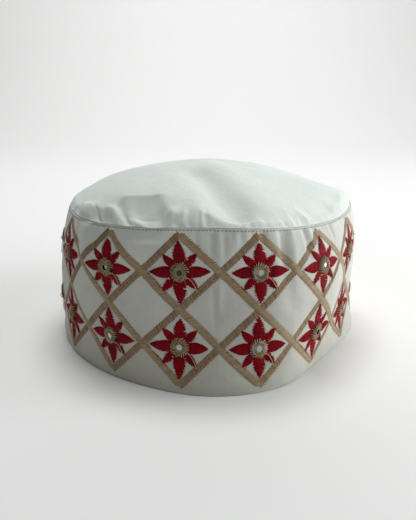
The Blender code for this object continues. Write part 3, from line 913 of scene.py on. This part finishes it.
# Share of its width that a petal starts with, and how bluntly it ends.
PETAL_ROOT = 0.66
PETAL_BLUNTNESS = 1.8
# The petals in turn from the one at the right: shape, extra half width and raggedness.
PETALS = (
    (LONG_PETAL, 0.0, 0.12), (SHORT_PETAL, 0.0, 0.3), (LONG_PETAL, 0.35, 0.42), (SHORT_PETAL, 0.0, 0.12),
    (LONG_PETAL, 0.0, 0.12), (SHORT_PETAL, 0.0, 0.3), (LONG_PETAL, 0.35, 0.42), (SHORT_PETAL, 0.0, 0.3),
)
# How ragged a petal must be to have slits, how many it has on each side, and what they leave.
SLIT_FROM = 0.3
SLITS = 1
SLIT_LEAVES = (0.4, 0.75)


def petal_half_width(out, tip, widest, widest_at):
    """Half width of a petal at a distance from the mirror."""
    opening = np.clip((out - PETAL_START) / (widest_at - PETAL_START), 0.0, 1.0)
    near = PETAL_ROOT + (1.0 - PETAL_ROOT) * np.sin(0.5 * math.pi * opening)
    far = 1.0 - np.clip((out - widest_at) / (tip - widest_at), 0.0, 1.0) ** PETAL_BLUNTNESS
    return widest * np.where(out < widest_at, near, far)


def petal_stitches(centre, angle, shape, ragged):
    """Stitches of one petal that points in one direction; a ragged one has a few slits."""
    out = np.arange(PETAL_START, shape[0] - 0.3, PETAL_PITCH)
    axis = np.array((math.cos(angle), math.sin(angle)))
    side = np.array((-axis[1], axis[0]))
    comb = np.cos(np.arange(len(out)) * 2.0 * math.pi / 3.0) * ragged
    edges = []
    for hand in (-1.0, 1.0):
        reach = petal_half_width(out, *shape) + comb + rng.normal(0.0, 0.25 * ragged + 0.05, len(out))
        reach = np.maximum(reach, 0.25)
        if ragged >= SLIT_FROM:
            for first in rng.integers(2, len(out) - 8, SLITS):
                reach[first:first + rng.integers(1, 3)] *= rng.uniform(*SLIT_LEAVES)
        place = np.minimum(out + hand * PETAL_SLANT * reach, shape[0])
        edges.append(centre + axis * place[:, None] + side * (hand * reach)[:, None])
    return edges


petal_starts, petal_ends = [], []
for centre in flower_centres:
    turn = rng.normal(0.0, 0.03)
    for petal, ((tip, widest, widest_at), extra, ragged) in enumerate(PETALS):
        shape = (tip * rng.normal(1.0, 0.03), widest + extra, widest_at)
        start, end = petal_stitches(centre, turn + petal * math.pi / 4.0, shape, ragged)
        petal_starts.append(start)
        petal_ends.append(end)
petals = stitches("flower_petals", np.concatenate(petal_starts), np.concatenate(petal_ends), PETAL_LIFT,
                  PETAL_THREAD, red_thread, points_along=6, end_lift=0.1, evenness=1.6)

# %% [markdown]
# ## Rings that hold the mirrors
#
# A mirror has no hole to sew through.  It is held by a ring of buttonhole stitch that laps over
# its edge.  Padding thread is laid first, and its dark brown is painted shade, so the gaps between
# the stitches look dark.  The stitches stand side by side like spokes, rise over the glass and end
# in a twisted loop round the small bright opening.

# %% Buttonhole rings
RING_OUTER = 5.0
RING_INNER = 1.75
RING_STITCHES = 22
RING_TURN = -0.25
RING_SWIRL = 0.65
# Height of a spoke above the cloth at shares of the way from its outer end to the loop.
RING_PROFILE = ((0.0, 0.1), (0.10, 0.95), (0.30, 1.6), (0.62, 1.85), (0.88, 1.75), (1.0, 1.3))
# About half the rings have two spokes that were sewn short, with this reach.
SHORT_SPOKE = 4.2
SPOKE_WIDTH = 0.7
# A spoke's cross-section from one side to the other: place across it and height, in half widths.
SPOKE_SECTION = ((-1.0, -0.9), (-0.75, -0.25), (0.0, 0.0), (0.75, -0.25), (1.0, -0.9))
# Distance from the mirror's middle and height of each hoop of the padding.
PADDING = ((4.75, 0.12), (4.4, 0.85), (3.6, 1.25), (2.8, 1.35), (2.1, 1.25), (1.8, 1.15))
PADDING_SIDES = 32
LOOP_POINTS = 24
LOOP_LIFT = 1.5
LOOP_TWIST = 0.05
# The loops and the tails are made of one round strand.
STRAND_RADIUS = 0.24
STRAND_TONE = 0.8


def circle(centre, reach, turn):
    """Places round the wall and up it, at a reach from a mirror's middle."""
    return centre[0] + reach * np.cos(turn), centre[1] + reach * np.sin(turn)


def ring_net(centre):
    """Points of the spokes of one ring."""
    share, lift = np.array(RING_PROFILE).T
    angle = np.arange(RING_STITCHES) * 2.0 * math.pi / RING_STITCHES + RING_TURN
    outer = RING_OUTER + rng.normal(0.0, 0.2, RING_STITCHES)
    if rng.uniform() < 0.5:
        outer[:2] = SHORT_SPOKE
    reach = outer[:, None] + (RING_INNER - outer)[:, None] * share
    bearing = angle[:, None] + RING_SWIRL * (share - 0.5)
    height = lift + rng.normal(0.0, 0.06, (RING_STITCHES, 1))
    middle, outward, across = laid(*circle(centre, reach, bearing), height)
    half = (SPOKE_WIDTH / 2.0 * (0.3 + 0.7 * reach / RING_OUTER))[..., None]
    return np.stack([middle + (across * side + outward * drop) * half for side, drop in SPOKE_SECTION], 2)


def thread_tube(name, paths, closed=False, sides=6):
    """Round tan threads that follow paths of points, as one mesh."""
    corners, faces = [], []
    turn = np.arange(sides)[None, :, None] * 2.0 * math.pi / sides
    for path in paths:
        ahead = np.roll(path, -1, axis=0) - np.roll(path, 1, axis=0)
        if not closed:
            ahead[0], ahead[-1] = path[1] - path[0], path[-1] - path[-2]
        ahead = unit(ahead)
        across = unit(np.cross(unit(path * (1.0, 1.0, 0.0)), ahead))
        lifted = unit(np.cross(ahead, across))
        round_it = np.cos(turn) * across[:, None, :] + np.sin(turn) * lifted[:, None, :]
        first = sum(len(c) for c in corners)
        corners.append((path[:, None, :] + STRAND_RADIUS * round_it).reshape(-1, 3))
        faces += (np.array(net_faces(len(path), sides, wrap_rows=closed)[0]) + first).tolist()
        if not closed:
            ends = np.arange(sides) + first
            faces += [ends[::-1].tolist(), (ends + (len(path) - 1) * sides).tolist()]
    obj = new_mesh(name, to_world(np.concatenate(corners)), faces, tan_thread)
    set_tone(obj, np.full(len(obj.data.vertices), STRAND_TONE))
    return obj


padding_turn = np.arange(PADDING_SIDES) * 2.0 * math.pi / PADDING_SIDES
padding_net = np.array([[wall_point(*circle(centre, reach, padding_turn), lift) for reach, lift in PADDING]
                        for centre in flower_centres])
hoop_faces = np.array(net_faces(len(PADDING), PADDING_SIDES, wrap_rows=False)[0])[:, ::-1]
padding_faces = [hoop_faces + index * len(PADDING) * PADDING_SIDES for index in range(len(flower_centres))]
ring_padding = new_mesh("ring_padding", to_world(padding_net.reshape(-1, 3)),
                        np.concatenate(padding_faces).tolist(), shaded_thread)
spokes = np.concatenate([ring_net(centre) for centre in flower_centres])
rings = sewn_mesh("mirror_rings", spokes, tan_thread, 0.35 + 0.65 * rng.beta(2.0, 2.0, len(spokes)))
loop_turn = np.linspace(0.0, 2.0 * math.pi, LOOP_POINTS, endpoint=False)
loop_round = (RING_INNER + LOOP_TWIST * np.sin(7 * loop_turn)) * np.cos(loop_turn)
loop_up = (RING_INNER + LOOP_TWIST * np.cos(5 * loop_turn)) * np.sin(loop_turn)
loops = [wall_point(around + loop_round, up + loop_up, LOOP_LIFT) for around, up in flower_centres]
ring_loops = thread_tube("ring_loops", loops, closed=True)
print("mirror rings:", len(flower_centres))

# %% [markdown]
# ### Tail threads
#
# Where a ring is finished its thread is carried loosely across the flower to the lattice.  It is
# one wavy strand that lies on top of the short lower petal.

# %% Loose tails from the rings to the lattice
TAIL_FROM = 2.0
TAIL_TO = 13.4
TAIL_POINTS = 14
# Ranges of a tail's direction in degrees and of how far it bows.
TAIL_LEAN = (-54.0, -47.0)
TAIL_BOW = (1.4, 2.2)
# Height of a tail over the petals, and how much more over the ring.
TAIL_LIFT = 0.85
TAIL_RISE = 1.5
share = np.linspace(0.0, 1.0, TAIL_POINTS)
out = TAIL_FROM + (TAIL_TO - TAIL_FROM) * share
tails = []
for around, up in flower_centres:
    lean = math.radians(rng.uniform(*TAIL_LEAN))
    sway = rng.uniform(*TAIL_BOW) * np.sin(math.pi * share) + 0.2 * np.sin(8.0 * share)
    tails.append(wall_point(around + out * math.cos(lean) - sway * math.sin(lean),
                            up + out * math.sin(lean) + sway * math.cos(lean),
                            TAIL_LIFT + TAIL_RISE * fade((6.0 - out) / 2.5)))
tail_threads = thread_tube("tail_threads", tails)

# %% [markdown]
# ## Silvered glass
#
# The mirrors are thin glass discs silvered on the back.  Metalness 1 with a very small roughness
# gives the bright, sharp reflection, and slight waviness keeps it from looking machine-perfect.
# The discs already have the right shape, so they only get this material; five of them get a copy
# with a dark silver colour, painted as the reflection of dark surroundings.

# %% Silvered glass on the mirrors
def silvered_glass(name, silver):
    """Thin glass over a silver coat of one hex colour."""
    material, shader = new_material(name, Metallic=1.0, Roughness=0.12, Base_Color=silver)
    place = add_node(material, "TexCoord").outputs["Object"]
    wave = add_node(material, "TexNoise", {"Scale": 90.0, "Detail": 1.0}, Vector=place)
    wavy = add_node(material, "Bump", {"Strength": 0.15, "Distance": 0.5 * MM}, Height=wave)
    join(material, wavy, shader, "Normal")
    return material


bright_glass = silvered_glass("silvered glass", "#AEB3B2")
# Painted reflection: five mirrors get a dark silver colour for the dark surroundings they reflect.
dark_reflection_glass = silvered_glass("silvered glass painted with a dark reflection", "#3A3D3B")
DARK_REFLECTION_MIRRORS = ("mirror_upper_01", "mirror_lower_03", "mirror_upper_06", "mirror_lower_09", "mirror_upper_12")
for name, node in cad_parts.items():
    if name.startswith("mirror_"):
        node.data.materials.clear()
        node.data.materials.append(dark_reflection_glass if name in DARK_REFLECTION_MIRRORS else bright_glass)

# %% [markdown]
# ## Top-stitching under the seam
#
# One row of short stitches holds the seam flat.  The thread is cotton, pulled down into the
# cloth.  Its dark grey colour is painted shade of the pits it sinks into, so what shows is a row
# of small dark dashes rather than bright thread.

# %% The row of top-stitches
# Painted shade: the pale thread is coloured dark grey for the shade in its needle holes.
seam_thread_painted_shade, _ = new_material("sewing thread painted with the shade of its holes", Roughness=0.8, IOR=1.5, Base_Color="#878377")
TOP_STITCH_PITCH = 2.0
TOP_STITCH_LENGTH = 1.25
TOP_STITCH_DROP = 1.0
TOP_STITCH_LIFT = 0.3
TOP_STITCH_WIDTH = 0.42
top_stitch_start = np.arange(0.0, AROUND, TOP_STITCH_PITCH)
drop = np.full(len(top_stitch_start), WALL_HEIGHT - TOP_STITCH_DROP)
start = np.stack([top_stitch_start, drop], -1)
end = np.stack([top_stitch_start + TOP_STITCH_LENGTH, drop + rng.normal(0.0, 0.05, len(drop))], -1)
seam_stitches = stitches("seam_stitches", start, end, TOP_STITCH_LIFT, TOP_STITCH_WIDTH, seam_thread_painted_shade,
                         points_along=4)

# %% [markdown]
# ## Floor, light and camera
#
# The cap stands on a plain white table against a white ground.  A low window at the right rakes
# across the folds, and a second window, a softbox overhead and the pale room fill the shade that
# it leaves at the lower left.  The camera stands close, about 37 centimetres away, and looks down
# 18 degrees: that nearness is what makes the front look taller than the sides.

# %% Floor and backdrop
paper, shader = new_material("matt white paper", Roughness=0.9, Base_Color="#F4F4F4")
grain = add_node(paper, "TexNoise", {"Scale": 900.0, "Detail": 2.0})
fibre = add_node(paper, "Bump", {"Strength": 0.05, "Distance": 0.1 * MM}, Height=grain)
join(paper, fibre, shader, "Normal")
# The paper lies flat to FLAT_DEPTH behind the cap and curves up with SWEEP_RADIUS, in metres.
FLAT_DEPTH = 0.9
SWEEP_RADIUS = 0.6
PAPER_HALF_WIDTH = 2.5
PAPER_FRONT = -2.5
PAPER_HEIGHT = 2.5
bend = np.linspace(0.0, math.pi / 2.0, 9)
sweep_y = np.concatenate([[PAPER_FRONT], FLAT_DEPTH + SWEEP_RADIUS * np.sin(bend),
                          [FLAT_DEPTH + SWEEP_RADIUS]])
sweep_z = np.concatenate([[0.0], SWEEP_RADIUS - SWEEP_RADIUS * np.cos(bend), [PAPER_HEIGHT]])
sweep_points = np.array([(x, y, z) for y, z in zip(sweep_y, sweep_z)
                         for x in (-PAPER_HALF_WIDTH, PAPER_HALF_WIDTH)])
sweep_faces = [[2 * k, 2 * k + 1, 2 * k + 3, 2 * k + 2] for k in range(len(sweep_y) - 1)]
backdrop = new_mesh("backdrop", sweep_points, sweep_faces, paper)


# %% Lights
CAP_MIDDLE = (0.0, 0.0, 0.05)
# Name, place, what it points at, width, power and colour of each square soft light.
LIGHTS = (
    ("window", (1.2, 0.06, 0.34), CAP_MIDDLE, 0.5, 6.2, "#FCFFFE"),
    ("second window", (0.9, -0.5, 0.7), CAP_MIDDLE, 0.6, 2.6, "#FCFFFE"),
    ("overhead softbox", (-0.08, 0.08, 1.3), CAP_MIDDLE, 0.8, 5.4, "#FCFFFF"),
    ("light off the table at the right", (0.46, -0.04, 0.03), (0.08, -0.03, 0.03), 0.16, 0.5, "#FFFDF8"),
    ("white wall at the left", (-1.0, -0.15, 0.8), CAP_MIDDLE, 0.6, 0.4, "#FFFDF8"),
    ("backdrop light", (0.0, 0.5, 1.6), (0.0, 1.5, 0.4), 0.8, 16.0, "#FFFFFF"),
)
for name, place, aim, size, power, colour in LIGHTS:
    data = bpy.data.lights.new(name, "AREA")
    data.size = size
    data.energy = power
    data.color = linear(colour)[:3]
    light = bpy.data.objects.new(name, data)
    light.location = place
    light.rotation_euler = (Vector(aim) - Vector(place)).to_track_quat("-Z", "Y").to_euler()
    bpy.context.scene.collection.objects.link(light)
world = bpy.data.worlds.new("white room")
world.use_nodes = True
room = world.node_tree.nodes["Background"]
room.inputs["Color"].default_value = linear("#FFF4DF")
room.inputs["Strength"].default_value = 0.04
bpy.context.scene.world = world
bpy.context.scene.view_settings.view_transform = "Standard"

# %% Camera
CAMERA_DISTANCE = 372.9
CAMERA_TILT = 17.93
CAMERA_AIM = np.array((0.12, 0.0, 42.4))
FOCAL_PIXELS = 560.0
FRAME_HEIGHT_PIXELS = 520.0
SENSOR = 36.0
tilt = math.radians(CAMERA_TILT)
eye = CAMERA_AIM + CAMERA_DISTANCE * np.array((0.0, -math.cos(tilt), math.sin(tilt)))
camera_data = bpy.data.cameras.new("camera")
camera_data.sensor_width = SENSOR
camera_data.lens = FOCAL_PIXELS / FRAME_HEIGHT_PIXELS * SENSOR
camera_data.clip_start = 0.01
camera = bpy.data.objects.new("camera", camera_data)
camera.location = Vector(to_world(eye))
camera.rotation_euler = (math.pi / 2.0 - tilt, 0.0, 0.0)
bpy.context.scene.collection.objects.link(camera)
bpy.context.scene.camera = camera

# %% [markdown]
# ## Every piece on one body
#
# The cap doesn't move, so every piece rides on its one body.

# %% Ride
sewn_on = [petals, rings, ring_padding, ring_loops, tail_threads, seam_stitches, guide_stitches, *lattice]
for piece in (side_wall, soft_top, *sewn_on):
    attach(piece, "root")
